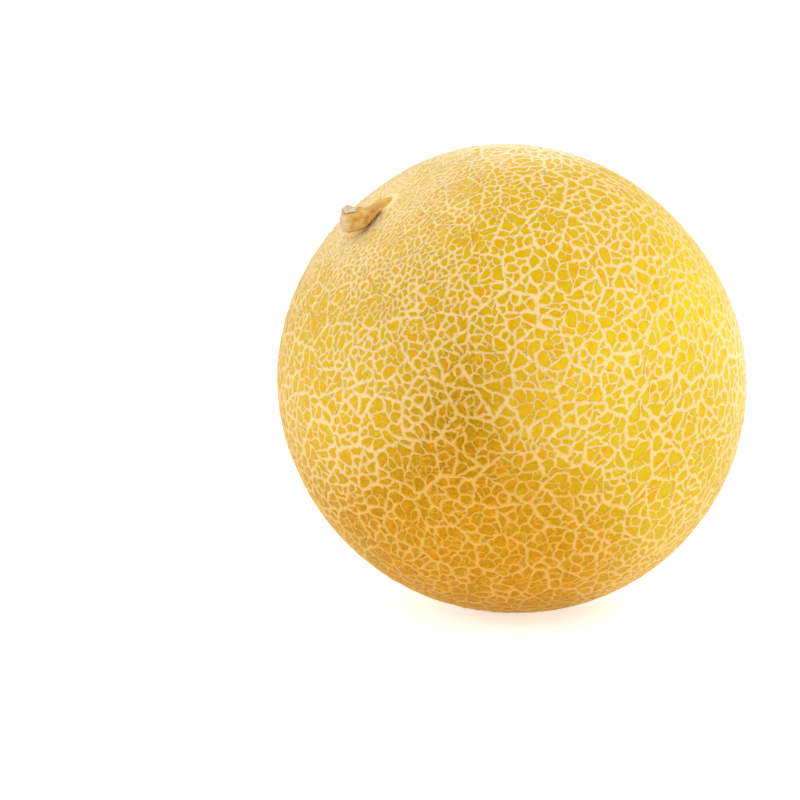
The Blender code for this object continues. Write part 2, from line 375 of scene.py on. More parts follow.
def crack(net, face, generation, rng):
    """Split a plate across its long axis. Returns both halves, or nothing if it can't."""
    middle = face.calc_center_median()
    turn = Matrix.Rotation(rng.gauss(0.0, 0.20), 3, middle.normalized())
    across = turn @ long_axis([v.co for v in face.verts], middle.normalized())
    shift = across * rng.uniform(-0.12, 0.12) * math.sqrt(face.calc_area())
    found = []
    for loop in face.loops:
        a = (loop.vert.co - middle - shift).dot(across)
        b = (loop.link_loop_next.vert.co - middle - shift).dot(across)
        if (a < 0.0) != (b < 0.0):
            share = min(max(a / (a - b), SMALLEST_SHARE), 1.0 - SMALLEST_SHARE)
            found.append((loop.edge, loop.vert, share))
    if len(found) != 2:
        return []
    age = 1 + max(edge[generation] for edge, start, share in found)
    ends = []
    for edge, start, share in found:
        vert = bmesh.utils.edge_split(edge, start, share)[1]
        vert.co.normalize()
        ends.append(vert)
    half = bmesh.utils.face_split(face, ends[0], ends[1])[0]
    for edge in half.edges:
        if ends[0] in edge.verts and ends[1] in edge.verts:
            edge[generation] = age
    return [face, half]


def crack_all(net, rng):
    """Crack every plate until its parts are small enough for their place on the fruit."""
    generation = net.edges.layers.int.new("generation")
    poles = (STEM_POLE, -STEM_POLE)
    queue = [f for f in net.faces
             if all(f.calc_center_median().angle(pole) > 0.02 for pole in poles)]
    while queue:
        face = queue.pop()
        limit = CELL_AREA * rng.uniform(1.0, 2.3) * cell_scale(face.calc_center_median())
        if face.calc_area() * EQUATOR_RADIUS ** 2 > limit:
            queue.extend(crack(net, face, generation, rng))
    return generation


# %% Relax the network
def relax(net, generation, rounds, share):
    """Pull each junction along its cracks. Old cracks pull hardest, so they stay straight."""
    for i in range(rounds):
        moved = {}
        for v in net.verts:
            pull = Vector()
            total = 0.0
            for e in v.link_edges:
                weight = 0.6 ** e[generation]
                pull += e.other_vert(v).co * weight
                total += weight
            moved[v] = v.co.lerp(pull / total, share).normalized()
        for v, co in moved.items():
            v.co = co


def close_junctions(net, shortest):
    """Merge junctions that stand closer together than the cork on them is wide."""
    short = [e for e in net.edges if e.calc_length() * EQUATOR_RADIUS
             < shortest * math.sqrt(cell_scale(e.verts[0].co))]
    bmesh.ops.collapse(net, edges=short)
    for v in net.verts:
        v.co.normalize()


def bend_edges(net, rng, amount, shortest):
    """Give each long crack a middle point, a little off the straight line."""
    for edge in net.edges[:]:
        start, end = edge.verts
        if edge.calc_length() * EQUATOR_RADIUS < shortest:
            continue
        along = end.co - start.co
        aside = along.cross(start.co) * rng.gauss(0.0, amount)
        vert = bmesh.utils.edge_split(edge, start, rng.uniform(0.42, 0.58))[1]
        vert.co = (vert.co + aside).normalized()


net_rng = random.Random(NET_SEED)
network = packed_plates(plate_centres(net_rng))
generation = crack_all(network, net_rng)
relax(network, generation, rounds=3, share=0.28)
close_junctions(network, shortest=0.80 * MM)
bend_edges(network, net_rng, amount=0.11, shortest=1.5 * MM)
print("cells:", len(network.faces), "crack pieces:", len(network.edges))

# %% [markdown]
# ## Width and height of the cork
# Cork on an old crack is about 1.5 mm wide, on the youngest 0.6 mm, and wide cork also stands
# higher. These sizes go on the network as attributes: a width on each edge, a rise on each point,
# and on each cell the room that is left for cork. The node tree below only reads them.

# %% Sizes on the network
DEAD_ENDS = 0.10
HALF_WIDTHS = (0.74 * MM, 0.62 * MM, 0.52 * MM, 0.43 * MM, 0.35 * MM, 0.28 * MM)
LEAST_ROOM = 0.3 * MM
TIGHT_ROOM = 0.6 * MM


def room_in(face):
    """The shortest way from the middle of a cell to one of its cracks."""
    middle = face.calc_center_median_weighted()
    nearest = 1.0
    for edge in face.edges:
        start, end = edge.verts[0].co, edge.verts[1].co
        along = end - start
        share = min(max((middle - start).dot(along) / along.length_squared, 0.0), 1.0)
        nearest = min(nearest, (start + along * share - middle).length)
    return max(nearest, LEAST_ROOM / EQUATOR_RADIUS)


def size_network(net, generation, rng):
    """Write width, rise and room on the network."""
    width = net.edges.layers.float.new("half_width")
    rise = net.verts.layers.float.new("rise")
    taper = net.verts.layers.float.new("taper")
    room = net.faces.layers.float.new("room")
    for edge in net.edges:
        rank = min(edge[generation], len(HALF_WIDTHS) - 1)
        local = width_scale(edge.verts[0].co)
        edge[width] = HALF_WIDTHS[rank] * local * rng.uniform(0.65, 1.35)
    for face in net.faces:
        face[room] = room_in(face) * EQUATOR_RADIUS
    for vert in net.verts:
        widest = max(e[width] for e in vert.link_edges)
        tight = min(f[room] for f in vert.link_faces)
        vert[rise] = 0.35 + 0.65 * min(widest / HALF_WIDTHS[0], 1.1)
        vert[rise] *= min(0.55 + 0.45 * tight / TIGHT_ROOM, 1.0)
        youngest = min(e[generation] for e in vert.link_edges)
        ends_here = len(vert.link_edges) == 2 and youngest >= 4 and rng.random() < DEAD_ENDS
        vert[taper] = rng.uniform(0.0, 0.25) if ends_here else 1.0


size_network(network, generation, net_rng)
network_mesh = bpy.data.meshes.new("crack_network")
network.to_mesh(network_mesh)
network.free()
print("network:", len(network_mesh.vertices), "points")

# %% [markdown]
# ## The net as a node tree
# Each cell of the network is cut loose and extruded without moving, which gives a wall all round
# it. The inner edge of the wall then steps away from the crack by the cork's half width and sinks
# into the skin, while the outer edge rises to the crest. Merging the crests joins all cells again.
# Tubes along the edges would be easier, but they cross untidily at every junction.


# %% The inset of a corner
def stored(tree, name, kind="FLOAT"):
    """An attribute that the mesh carries."""
    return add(tree, "GeometryNodeInputNamedAttribute", {"Name": name}, data_type=kind).outputs[0]


def keep(tree, mesh, name, value, kind="FLOAT", domain="POINT"):
    """The mesh with an attribute stored on it."""
    return add(tree, "GeometryNodeStoreNamedAttribute",
               {"Geometry": mesh, "Name": name, "Value": value},
               data_type=kind, domain=domain).outputs[0]


def corner_inset(tree, web, fill):
    """How far a loose corner steps into its cell: away from both of its edges."""
    at = add(tree, "GeometryNodeInputPosition").outputs[0]
    index = add(tree, "GeometryNodeInputIndex").outputs[0]
    corner = add(tree, "GeometryNodeCornersOfVertex", {"Vertex Index": index}).outputs[0]
    edges = add(tree, "GeometryNodeEdgesOfCorner", {"Corner Index": corner})
    up = vector_sum(tree, "NORMALIZE", at)
    width = stored(tree, "half_width")
    inward = []
    widths = []
    for step, sign, edge in ((1, 1.0, "Next Edge Index"), (-1, -1.0, "Previous Edge Index")):
        other = add(tree, "GeometryNodeOffsetCornerInFace",
                    {"Corner Index": corner, "Offset": step})
        vertex = add(tree, "GeometryNodeVertexOfCorner", {"Corner Index": other.outputs[0]})
        there = add(tree, "GeometryNodeFieldAtIndex", {"Value": at, "Index": vertex.outputs[0]},
                    data_type="FLOAT_VECTOR", domain="POINT").outputs[0]
        run = vector_sum(tree, "SUBTRACT", there, at)
        unit = vector_sum(tree, "NORMALIZE", vector_sum(tree, "CROSS_PRODUCT", up, run))
        inward.append(scaled(tree, unit, sign))
        widths.append(add(tree, "GeometryNodeFieldAtIndex",
                          {"Value": width, "Index": edges.outputs[edge]},
                          data_type="FLOAT", domain="EDGE").outputs[0])
    close = vector_sum(tree, "DOT_PRODUCT", *inward)
    bulge = ramped(tree, close, 1.0, 0.2, 1.0, web)
    webbed = sum_of(tree, "MULTIPLY", sum_of(tree, "MAXIMUM", *widths), bulge)
    most = sum_of(tree, "MULTIPLY", stored(tree, "room"), fill)
    reach = sum_of(tree, "MINIMUM", webbed, most)
    safe = sum_of(tree, "MAXIMUM", sum_of(tree, "ADD", close, 1.0), 0.55)
    ratio = sum_of(tree, "DIVIDE", sum_of(tree, "DIVIDE", reach, safe), EQUATOR_RADIUS)
    thinned = sum_of(tree, "MULTIPLY", ratio, stored(tree, "taper"))
    return scaled(tree, vector_sum(tree, "ADD", *inward), thinned)


# %% Where the net is worn or young
def relief_share(tree):
    """Less height on the resting spot, where the fruit lay, and a little less by the stem."""
    at = add(tree, "GeometryNodeInputPosition").outputs[0]
    share = 1.0
    for pole, near, far, least in ((DOWN, 7.0, 13.0, 0.3), (STEM_POLE, 7.0, 16.0, 0.6)):
        dot = vector_sum(tree, "DOT_PRODUCT", vector_sum(tree, "NORMALIZE", at), pole)
        fade = ramped(tree, sum_of(tree, "ARCCOSINE", dot), math.radians(near),
                      math.radians(far), least, 1.0, "SMOOTHSTEP")
        share = sum_of(tree, "MULTIPLY", share, fade)
    return share


# %% The net tree
def net_tree():
    inputs = {"Geometry": "Geometry", "Crest height": "Float", "Foot depth": "Float",
              "Web": "Float", "Fill": "Float", "Roughness of crest": "Float",
              "Material": "Material"}
    tree, given, out = new_tree("cork_net", inputs, "Geometry", "Geometry")
    loose = add(tree, "GeometryNodeSplitEdges", {"Mesh": given.outputs["Geometry"]})
    inset = corner_inset(tree, given.outputs["Web"], given.outputs["Fill"])
    kept = keep(tree, loose.outputs[0], "inset", inset, "FLOAT_VECTOR")
    walls = add(tree, "GeometryNodeExtrudeMesh",
                {"Mesh": kept, "Offset Scale": 0.0, "Individual": False}, mode="FACES")
    marked = keep(tree, walls.outputs["Mesh"], "floor", walls.outputs["Top"], "BOOLEAN", "FACE")
    at = add(tree, "GeometryNodeInputPosition").outputs[0]
    floor = stored(tree, "floor", "BOOLEAN")
    moved = add(tree, "GeometryNodeSetPosition",
                {"Geometry": marked, "Selection": floor,
                 "Offset": stored(tree, "inset", "FLOAT_VECTOR")})
    drop = sum_of(tree, "MULTIPLY_ADD", stored(tree, "taper"), 1.35, -0.35)
    rise = sum_of(tree, "MULTIPLY", stored(tree, "rise"), drop)
    uneven = ramped(tree, noise_at(tree, at, 60.0)[0], 0.3, 0.7, -1.0, 1.0)
    rough = sum_of(tree, "MULTIPLY_ADD", uneven, given.outputs["Roughness of crest"], 1.0)
    tall = sum_of(tree, "MULTIPLY", rise, rough)
    tall = sum_of(tree, "MULTIPLY", tall, given.outputs["Crest height"])
    tall = sum_of(tree, "MULTIPLY", tall, relief_share(tree))
    sunk = sum_of(tree, "MULTIPLY", given.outputs["Foot depth"], -1.0)
    height = add(tree, "GeometryNodeSwitch", {"Switch": floor, "False": tall, "True": sunk},
                 input_type="FLOAT")
    shade = add(tree, "GeometryNodeSwitch", {"Switch": floor, "False": rise}, input_type="FLOAT")
    toned = keep(tree, moved.outputs[0], "crest", shade.outputs[0])
    laid = laid_on_fruit(tree, toned, height.outputs[0])
    whole = add(tree, "GeometryNodeMergeByDistance", {"Geometry": laid, "Distance": 0.0001 * MM})
    finish_tree(tree, given, out, whole.outputs[0])
    return tree


# %% Colours
def colour(code):
    """An sRGB hex value as linear red, green, blue and alpha."""
    parts = [int(code[i:i + 2], 16) / 255.0 for i in (0, 2, 4)]
    linear = [c / 12.92 if c <= 0.04045 else ((c + 0.055) / 1.055) ** 2.4 for c in parts]
    return (*linear, 1.0)


# %% Colour zones
def zoned(tree, direction, base, zones):
    """A base colour with soft zones: each has a direction, a spread in degrees and a colour."""
    shade = colour(base)
    for centre, spread, code in zones:
        near = vector_sum(tree, "DOT_PRODUCT", direction, centre)
        mask = ramped(tree, near, math.cos(math.radians(spread)), 1.0, kind="SMOOTHSTEP")
        shade = blend_colour(tree, mask, shade, colour(code))
    return shade


# %% Small shader helpers
def new_material(name):
    """An empty Principled material: its tree and its shader."""
    material = bpy.data.materials.new(name)
    material.use_nodes = True
    shader = next(n for n in material.node_tree.nodes if n.type == "BSDF_PRINCIPLED")
    return material, material.node_tree, shader


def blend_colour(tree, amount, first, second):
    """Two colours mixed by an amount."""
    node = add(tree, "ShaderNodeMix", {0: amount, 6: first, 7: second}, data_type="RGBA")
    return node.outputs[2]


def tint(tree, base, mask, share, code):
    """A base colour with another laid over it, where a mask says and as strong as a share."""
    return blend_colour(tree, sum_of(tree, "MULTIPLY", mask, share), base, colour(code))


def bumped(tree, shader, height, strength, depth):
    """Small relief, only as shading."""
    bump = add(tree, "ShaderNodeBump", {"Height": height, "Strength": strength, "Distance": depth})
    surface(tree, shader, Normal=bump.outputs[0])


def surface(tree, shader, **values):
    """Values or links for a surface, by the names of its sockets."""
    fill(tree, shader, {name.replace("_", " "): value for name, value in values.items()})


def spots(tree, place, size, low, high, detail=2.0, rough=0.5):
    """Soft noise whose lumps are about one size across, as a mask."""
    return ramped(tree, noise_at(tree, place, 1.0 / (2.0 * size), detail, rough)[0], low, high)


def from_middle(tree):
    """The place on the object, and its direction from the middle of the fruit."""
    place = add(tree, "ShaderNodeTexCoord").outputs["Object"]
    return place, vector_sum(tree, "NORMALIZE", vector_sum(tree, "SUBTRACT", place, MIDDLE))


# %% [markdown]
# ## Ripe melon skin
# Under the net the skin is alive: smooth, thin and a little waxy, so it gives a broad soft
# highlight. Its gold isn't even. Each plate ripens for itself, so some are orange in the middle,
# some still have a trace of olive, and very fine breathing pores make it a little dull up close.

# %% Melon skin material
# The base colours show on the front that faces the camera: a deeper gold and cream as painted
# shade.
FRONT_SHADE_GOLD = "916600"
FRONT_SHADE_CREAM = "BF953D"
# The zones hold the fruit's own uneven ripening and also painted light and shade: the sides and
# the right are lighter as painted light, the belly is darker as painted shade, and the crown and
# stem zones are paler as a painted rim light.
# Each zone: its direction, its spread in degrees, and the colours of its skin and its cork.
RIPENESS_AND_LIGHT_ZONES = (
    (-VIEW_BACK, 130.0, "BE9310", "D8B86C"),
    (facing(0.45, 0.00), 44.0, "C7A218", "D0B67B"),
    (facing(0.80, 0.10), 48.0, "CEBB36", "E5D6A4"),
    (facing(0.50, 0.62), 50.0, "C9B400", "D8C074"),
    (facing(-0.05, 0.72), 56.0, "BA980A", "DABE81"),
    (facing(-0.80, 0.15), 46.0, "BA991A", "D5BB84"),
    (facing(0.60, -0.48), 50.0, "B69C12", "D9B971"),
    # Belly: darker orange, partly ripeness and partly painted shade.
    (facing(-0.10, -0.80), 46.0, "A06E00", "C08A10"),
    # Crown and stem end: paler, a painted rim light.
    (CROWN, 26.0, "CCAA48", "EBDAB2"),
    (STEM_POLE, 34.0, "C9A646", "E4CD9B"),
)
SKIN_RIPENESS_AND_LIGHT = [(place, spread, gold) for place, spread, gold, cream in RIPENESS_AND_LIGHT_ZONES]
CORK_RIPENESS_AND_LIGHT = [(place, spread, cream) for place, spread, gold, cream in RIPENESS_AND_LIGHT_ZONES]


def melon_skin():
    material, tree, shader = new_material("melon_skin_ripe")
    place, direction = from_middle(tree)
    # Skin colour by zones: ripeness together with painted light and shade.
    base = zoned(tree, direction, FRONT_SHADE_GOLD, SKIN_RIPENESS_AND_LIGHT)
    base = tint(tree, base, spots(tree, place, 1.6 * MM, 0.50, 0.72), 0.55, "D07800")
    base = tint(tree, base, spots(tree, place, 1.9 * MM, 0.52, 0.74), 0.20, "A08400")
    base = tint(tree, base, spots(tree, place, 0.5 * MM, 0.40, 0.66, 1.0), 0.16, "DDB414")
    bent = noise_at(tree, place, 1.0 / (3.0 * MM))[1]
    warped = vector_sum(tree, "ADD", place, scaled(tree, bent, 1.6 * MM))
    cell = add(tree, "ShaderNodeTexVoronoi", {"Vector": warped, "Scale": 1.0 / (2.4 * MM)},
               feature="DISTANCE_TO_EDGE")
    line = ramped(tree, cell.outputs["Distance"], 0.085, 0.03)
    hair = sum_of(tree, "MULTIPLY", line, spots(tree, place, 2.2 * MM, 0.54, 0.62))
    base = tint(tree, base, hair, 0.28, "DDB850")
    gloss = ramped(tree, spots(tree, place, 1.5 * MM, 0.3, 0.7), 0.0, 1.0, 0.38, 0.52)
    surface(tree, shader, Base_Color=base, Roughness=gloss, Sheen_Weight=0.03,
            Sheen_Roughness=0.35, IOR=1.45, Specular_IOR_Level=0.06)
    bumped(tree, shader, noise_at(tree, place, 1.0 / (0.6 * MM))[0], 0.35, 0.08 * MM)
    return material


skin_material = melon_skin()
print("skin material:", len(skin_material.node_tree.nodes), "nodes")

# %% [markdown]
# ## Cork of the net
# The net is healed cork, dead and full of air, so it is pale and scatters light without any
# gloss. Thick cord weathers to a greyish cream on its crest and is a darker warm gold at its feet,
# where the gold of the skin shows through and a painted shade darkens it where it meets the skin.
# Thin young cord is warm all over. Fine fissures run along it.

# %% Cork material
def net_cork():
    material, tree, shader = new_material("healed_net_cork")
    place, direction = from_middle(tree)
    # Cork colour by zones: ripeness together with painted light and shade.
    base = zoned(tree, direction, FRONT_SHADE_CREAM, CORK_RIPENESS_AND_LIGHT)
    crest = add(tree, "ShaderNodeAttribute", attribute_name="crest").outputs["Fac"]
    # Feet of the cord: the gold of the skin showing through, darkened further as painted shade
    # where the cord meets the skin.
    base = tint(tree, base, ramped(tree, crest, 0.60, 0.0), 0.80, "B88C20")
    base = tint(tree, base, ramped(tree, crest, 0.60, 0.95), 0.30, "D2BE9E")
    base = tint(tree, base, spots(tree, place, 0.40 * MM, 0.46, 0.66, 3.0, 0.6), 0.32, "AE8544")
    base = tint(tree, base, spots(tree, place, 0.9 * MM, 0.52, 0.70, 2.0), 0.20, "ADA055")
    ragged = spots(tree, place, 0.42 * MM, 0.30, 0.70, 3.0, 0.6)
    bare = ramped(tree, sum_of(tree, "MULTIPLY_ADD", ragged, 0.75, crest), 0.62, 0.50)
    base = blend_colour(tree, bare, base, zoned(tree, direction, FRONT_SHADE_GOLD, SKIN_RIPENESS_AND_LIGHT))
    surface(tree, shader, Base_Color=base, Roughness=0.82, Sheen_Weight=0.05,
            Sheen_Roughness=0.35, IOR=1.45, Specular_IOR_Level=0.15)
    lumps = noise_at(tree, place, 1.0 / (0.7 * MM), 4.0, 0.65)[0]
    bumped(tree, shader, lumps, 0.6, 0.18 * MM)
    return material


cork_material = net_cork()
print("cork material:", len(cork_material.node_tree.nodes), "nodes")


# %% From rows of points to a piece
def new_object(name, data):
    """An object in the scene, at the origin."""
    thing = bpy.data.objects.new(name, data)
    bpy.context.collection.objects.link(thing)
    return thing


def join_rows(build, rows, closed):
    """Faces between neighbouring rows of points, all the way round if the rows are closed."""
    for low, high in zip(rows, rows[1:]):
        for j in range(len(low) if closed else len(low) - 1):
            k = (j + 1) % len(low)
            build.faces.new((low[j], low[k], high[k], high[j]))


def plain_piece(build, name):
    """Face a built mesh outward, shade it smooth and keep it as an object at the origin."""
    bmesh.ops.recalc_face_normals(build, faces=build.faces[:])
    mesh = bpy.data.meshes.new(name)
    build.to_mesh(mesh)
    build.free()
    for face in mesh.polygons:
        face.use_smooth = True
    print(name + ":", len(mesh.polygons), "faces")
    return new_object(name, mesh)


# %% From a node tree to a plain mesh
def grow(name, start, tree, values):
    """Run a node tree on a start mesh and keep the result as a plain mesh at the origin."""
    carrier = new_object(name + "_start", start)
    modifier = carrier.modifiers.new("grow", "NODES")
    modifier.node_group = tree
    for socket in tree.interface.items_tree:
        if socket.in_out == "INPUT" and socket.name in values:
            modifier[socket.identifier] = values[socket.name]
    graph = bpy.context.evaluated_depsgraph_get()
    mesh = bpy.data.meshes.new_from_object(carrier.evaluated_get(graph))
    bpy.data.objects.remove(carrier)
    mesh.name = name
    print(name + ":", sum(len(p.vertices) - 2 for p in mesh.polygons), "triangles")
    return new_object(name, mesh)


# %% A map for a ball
def unfold_ball(mesh):
    """Unfold a ball on a square, like an eight-sided solid, with the seams on the far side."""
    axes = np.array([VIEW_RIGHT, VIEW_UP, VIEW_BACK])
    points = np.empty(len(mesh.vertices) * 3)
    mesh.vertices.foreach_get("co", points)
    points = (points.reshape(-1, 3) - np.array(MIDDLE)) @ axes.T
    corner_point = np.empty(len(mesh.loops), dtype=int)
    mesh.loops.foreach_get("vertex_index", corner_point)
    starts = np.empty(len(mesh.polygons), dtype=int)
    mesh.polygons.foreach_get("loop_start", starts)
    totals = np.diff(np.append(starts, len(mesh.loops)))
    p = points[corner_point]
    centre = np.add.reduceat(p, starts, axis=0) / totals[:, None]
    side = np.repeat(np.where(centre < 0.0, -1.0, 1.0), totals, axis=0)
    q = p / (p * side).sum(axis=1)[:, None]
    near = q[:, :2]
    far = side[:, :2] * (1.0 - side[:, 1::-1] * q[:, 1::-1])
    flat = np.where(side[:, 2:] > 0.0, near, far)
    layer = mesh.uv_layers.new(name="OFBake")
    layer.data.foreach_set("uv", (0.5 + 0.485 * flat).ravel())


# %% Uncross the feet
def outward(p, q, r):
    """True if a triangle faces away from the middle of the fruit."""
    return (q.co - p.co).cross(r.co - p.co).dot(p.co - MIDDLE) > 0.0


def uncross_feet(mesh, rounds):
    """Where the feet of a wall have passed each other, they are drawn back towards its crack."""
    build = bmesh.new()
    build.from_mesh(mesh)
    crest = build.verts.layers.float["crest"]
    walls = []
    for face in build.faces:
        v = list(face.verts)
        tops = [vert[crest] != 0.0 for vert in v]
        if len(v) == 4 and sum(tops) == 2:
            first = next(i for i in range(4) if tops[i] and tops[(i + 1) % 4])
            walls.append((face, [v[(first + k) % 4] for k in range(4)]))
    for turn in range(rounds):
        crossed = 0
        for face, (a, b, c, d) in walls:
            if (outward(a, b, c) and outward(a, c, d)) or (outward(a, b, d) and outward(b, c, d)):
                continue
            crossed += 1
            for foot, top in ((c, b), (d, a)):
                level = (top.co - MIDDLE).normalized() * (foot.co - MIDDLE).length
                foot.co = foot.co.lerp(MIDDLE + level, 0.4)
                foot.co.z = max(foot.co.z, 0.0)
        print("crossed walls in round", turn + 1, ":", crossed)
    for face, (a, b, c, d) in walls:
        if not (outward(a, b, c) and outward(a, c, d)):
            bmesh.utils.face_split(face, b, d)
        elif not (outward(a, b, d) and outward(b, c, d)):
            bmesh.utils.face_split(face, a, c)
    build.to_mesh(mesh)
    build.free()


# %% Grow the net
cork = grow("cork_net", network_mesh, net_tree(),
            {"Crest height": 0.42 * MM, "Foot depth": 0.12 * MM, "Web": 1.35, "Fill": 0.72,
             "Roughness of crest": 0.22, "Material": cork_material})
uncross_feet(cork.data, 4)
unfold_ball(cork.data)

# %% [markdown]
# ## The skin
# The skin is the form of the fruit by itself: a fine ball of nearly equal triangles, each point
# moved to its place by the same node group that carries the net. It stays a hair under the feet
# of the cork and a hair over the floor, so that only the cork touches.

# %% The skin tree
def skin_tree():
    inputs = {"Geometry": "Geometry", "Finer": "Int", "Waves": "Float", "Lowest": "Float",
              "Material": "Material"}
    tree, given, out = new_tree("melon_skin", inputs, "Geometry", "Geometry")
    ball = add(tree, "GeometryNodeMeshIcoSphere",
               {"Radius": 1.0, "Subdivisions": given.outputs["Finer"]})
    at = add(tree, "GeometryNodeInputPosition").outputs[0]
    level = ramped(tree, noise_at(tree, at, 9.0)[0], 0.3, 0.7, -1.0, 0.0)
    waves = sum_of(tree, "MULTIPLY", level, given.outputs["Waves"])
    laid = laid_on_fruit(tree, ball.outputs["Mesh"], waves, given.outputs["Lowest"])
    finish_tree(tree, given, out, laid)
    return tree


skin = grow("melon_skin", bpy.data.meshes.new("empty"), skin_tree(),
            {"Finer": 7, "Waves": 0.05 * MM, "Lowest": 0.06 * MM, "Material": skin_material})
unfold_ball(skin.data)

# %% [markdown]
# ## The dry stub of the stem
# The stem was cut while it was green and then dried. It leaves the fruit golden, shrinks to a
# brown neck, and flares where it was cut off at a joint of the vine, so it has ribs that run
# along it, an uneven rim and a hollow end. It is a loft of rings along a bent line, close enough
# together that the ribs, the twist and the torn rim can be part of the mesh. The same rings are
# also kept unbent as an attribute, so that the fibres of the material can run along the stem.

# %% The path of the stem
STEM_HEADING = Vector((-0.76, -0.02, -0.65))
STEM_RUN = (STEM_HEADING - STEM_POLE * STEM_HEADING.dot(STEM_POLE)).normalized()
STEM_ASIDE = STEM_POLE.cross(STEM_RUN)
# Along the run, aside, over the seat, and the radius, in mm.
STEM_STATIONS = (
    (-0.2, 0.0, -0.6, 3.5), (0.0, 0.1, 0.1, 2.8), (0.5, 0.5, 0.8, 2.1), (1.7, 1.3, 1.3, 1.75),
    (3.5, 2.3, 1.8, 1.6), (5.3, 3.0, 2.2, 1.7), (6.9, 3.4, 2.6, 2.2), (8.5, 3.5, 3.0, 2.8),
    (10.2, 3.3, 3.5, 3.2), (11.9, 3.0, 4.2, 3.35), (13.4, 2.6, 4.9, 3.35), (14.5, 2.3, 5.6, 3.1),
)
STEM_RINGS = 70
STEM_SIDES = 72
SEAT_LEVEL = 73.68 * MM
stem_foot = MIDDLE + STEM_POLE * SEAT_LEVEL


def smooth_row(rows, t):
    """A row between given rows, on a smooth curve through them."""
    x = t * (len(rows) - 1)
    i = min(int(x), len(rows) - 2)
    f = x - i
    a, b = rows[max(i - 1, 0)], rows[i]
    c, d = rows[i + 1], rows[min(i + 2, len(rows) - 1)]
    return [0.5 * (2 * q + (r - p) * f + (2 * p - 5 * q + 4 * r - s) * f * f
                   + (3 * q - p - 3 * r + s) * f ** 3) for p, q, r, s in zip(a, b, c, d)]


def stem_centre(t):
    run, aside, rise, radius = smooth_row(STEM_STATIONS, t)
    place = STEM_RUN * run + STEM_ASIDE * aside + STEM_POLE * rise
    return stem_foot + place * MM, radius * MM


# %% Rings of the stem
STEM_RIBS = 5
stem_rng = random.Random(11)
rib_depths = [stem_rng.uniform(0.7, 1.3) for i in range(STEM_RIBS)]
rim_waves = [(k, stem_rng.uniform(0.0, 6.28), 1.0 / k) for k in (2, 3, 5, 8, 13)]


def rib(angle, t):
    """How far the ribs push a point out: deep on the neck, split finely towards the rim."""
    main = math.cos(STEM_RIBS * angle + 0.8 * t)
    which = int((angle / (2.0 * math.pi) * STEM_RIBS + 0.5) % STEM_RIBS)
    fine = 0.3 * math.cos(17.0 * angle + 5.0 * t) + 0.2 * math.cos(29.0 * angle - 4.0 * t)
    flare = max((t - 0.6) / 0.4, 0.0)
    torn = sum(a * math.cos(k * angle + p) for k, p, a in rim_waves)
    lumps = math.sin(3.0 * angle + 21.0 * t) + math.sin(4.0 * angle - 33.0 * t + 1.0)
    return (0.10 * main * rib_depths[which] + 0.05 * fine + 0.03 * lumps
            + 0.10 * flare ** 2 * torn)


def stem_piece():
    """A closed loft: the outside, the rim, and the hollow of the cut end."""
    build = bmesh.new()
    unbent = build.verts.layers.float_vector.new("unbent")
    age = build.verts.layers.float.new("dryness")
    rings = []
    side = STEM_ASIDE.copy()
    steps = [(i / (STEM_RINGS - 1), 1.0, 0.0) for i in range(STEM_RINGS)]
    steps += [(1.0, 0.96, 0.5), (1.0, 0.85, 0.95), (1.0, 0.70, 1.15), (1.0, 0.54, 0.85),
              (1.0, 0.36, 0.2), (1.0, 0.15, 0.0)]
    for t, share, out in steps:
        centre, radius = stem_centre(t)
        ahead = stem_centre(min(t + 0.01, 1.0))[0] - stem_centre(min(t, 0.99))[0]
        forward = STEM_POLE.lerp(ahead.normalized(), min(t / 0.3, 1.0)).normalized()
        side = (side - forward * side.dot(forward)).normalized()
        up = forward.cross(side)
        ring = []
        for j in range(STEM_SIDES):
            angle = 2.0 * math.pi * j / STEM_SIDES
            r = radius * share * (1.0 + rib(angle, t) * (1.0 if share > 0.8 else 0.6))
            ragged = sum(a * math.sin(k * angle + 2 * p) for k, p, a in rim_waves[1:])
            edge = max((t - 0.85) / 0.15, 0.0) * ragged * 0.35 * (1.0 if share > 0.7 else 0.2)
            radial = side * math.cos(angle) + up * math.sin(angle)
            vert = build.verts.new(centre + radial * r + forward * (out + edge) * MM)
            vert[unbent] = Vector((math.cos(angle) * share * 3.0 * MM,
                                   math.sin(angle) * share * 3.0 * MM, t * 15.0 * MM))
            vert[age] = t if share == 1.0 else 1.0 + (1.0 - share)
            ring.append(vert)
        rings.append(ring)
    join_rows(build, rings, closed=True)
    build.faces.new(rings[-1])
    build.faces.new(rings[0][::-1])
    return plain_piece(build, "stem_stub")


stub = stem_piece()

# %% [markdown]
# ## Dry stem
# Dead stem is woody fibre. It is golden where it joins the fruit, orange brown along the neck,
# dark in the grooves, and greyish white on the rim, where the outer skin has lifted and bleached.
# The colour follows the dryness that was stored on the rings, and the fibres run along them.

